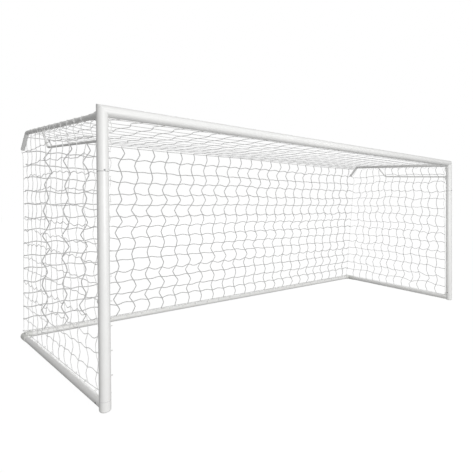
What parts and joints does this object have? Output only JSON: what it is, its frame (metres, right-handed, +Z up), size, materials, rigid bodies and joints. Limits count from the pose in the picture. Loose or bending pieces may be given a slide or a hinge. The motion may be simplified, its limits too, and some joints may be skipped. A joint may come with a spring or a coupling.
{
  "type": "soccer goal frame",
  "caption": "Free-standing youth soccer goal: round tube posts and crossbar, ground frame, bent top stays with thin braces, and a knotted cord net.",
  "frame": {"origin": "middle of the goal's footprint on the ground (bottom centre of its bounding box)", "axes": "+X along the crossbar, +Y from the goal mouth towards the rear bar, +Z up; the mouth faces -Y"},
  "size_m": [5.649, 2.0768, 2.1854],
  "materials": {
    "frame_tube": "white powder coat, satin, over aluminium tube",
    "stay_tube": "light grey-white powder coat, satin",
    "stay_fitting": "light grey-white powder coat over cast aluminium",
    "cast_fitting": "white powder coat over cast aluminium",
    "inner_fitting": "as cast",
    "elbow_fitting": "moulded, slightly green grey",
    "end_cap": "moulded grey",
    "net_cord": "knotted white cord",
    "net_clip": "moulded off-white",
    "screw": "dark plated"
  },
  "bodies": {
    "root": {"crossbar": "frame_tube", "rear_bar": "frame_tube", "upper_post_left": "frame_tube", "lower_post_left": "frame_tube", "side_bar_left": "frame_tube", "foot_left": "cast_fitting", "corner_casting_left": "inner_fitting", "post_sleeve_left": "inner_fitting", "rear_elbow_left": "elbow_fitting", "stay_socket_left": "stay_fitting", "brace_socket_left": "stay_fitting", "stay_left": "stay_tube", "brace_left": "stay_tube", "stay_cap_left": "end_cap", "net_left": "net_cord", "net_clips_post_left": "net_clip", "net_clips_side_bar_left": "net_clip", "upper_post_right": "frame_tube", "lower_post_right": "frame_tube", "side_bar_right": "frame_tube", "foot_right": "cast_fitting", "corner_casting_right": "inner_fitting", "post_sleeve_right": "inner_fitting", "rear_elbow_right": "elbow_fitting", "stay_socket_right": "stay_fitting", "brace_socket_right": "stay_fitting", "stay_right": "stay_tube", "brace_right": "stay_tube", "stay_cap_right": "end_cap", "net_right": "net_cord", "net_clips_post_right": "net_clip", "net_clips_side_bar_right": "net_clip", "net_top": "net_cord", "net_rear": "net_cord", "post_joint_screws": "screw", "corner_screws": "screw", "foot_screws": "screw", "bar_screws": "screw", "elbow_screws": "screw", "stay_socket_screws": "screw", "brace_socket_screws": "screw", "net_clips_crossbar": "net_clip", "net_clips_rear_bar": "net_clip"}
  },
  "joints": []
}
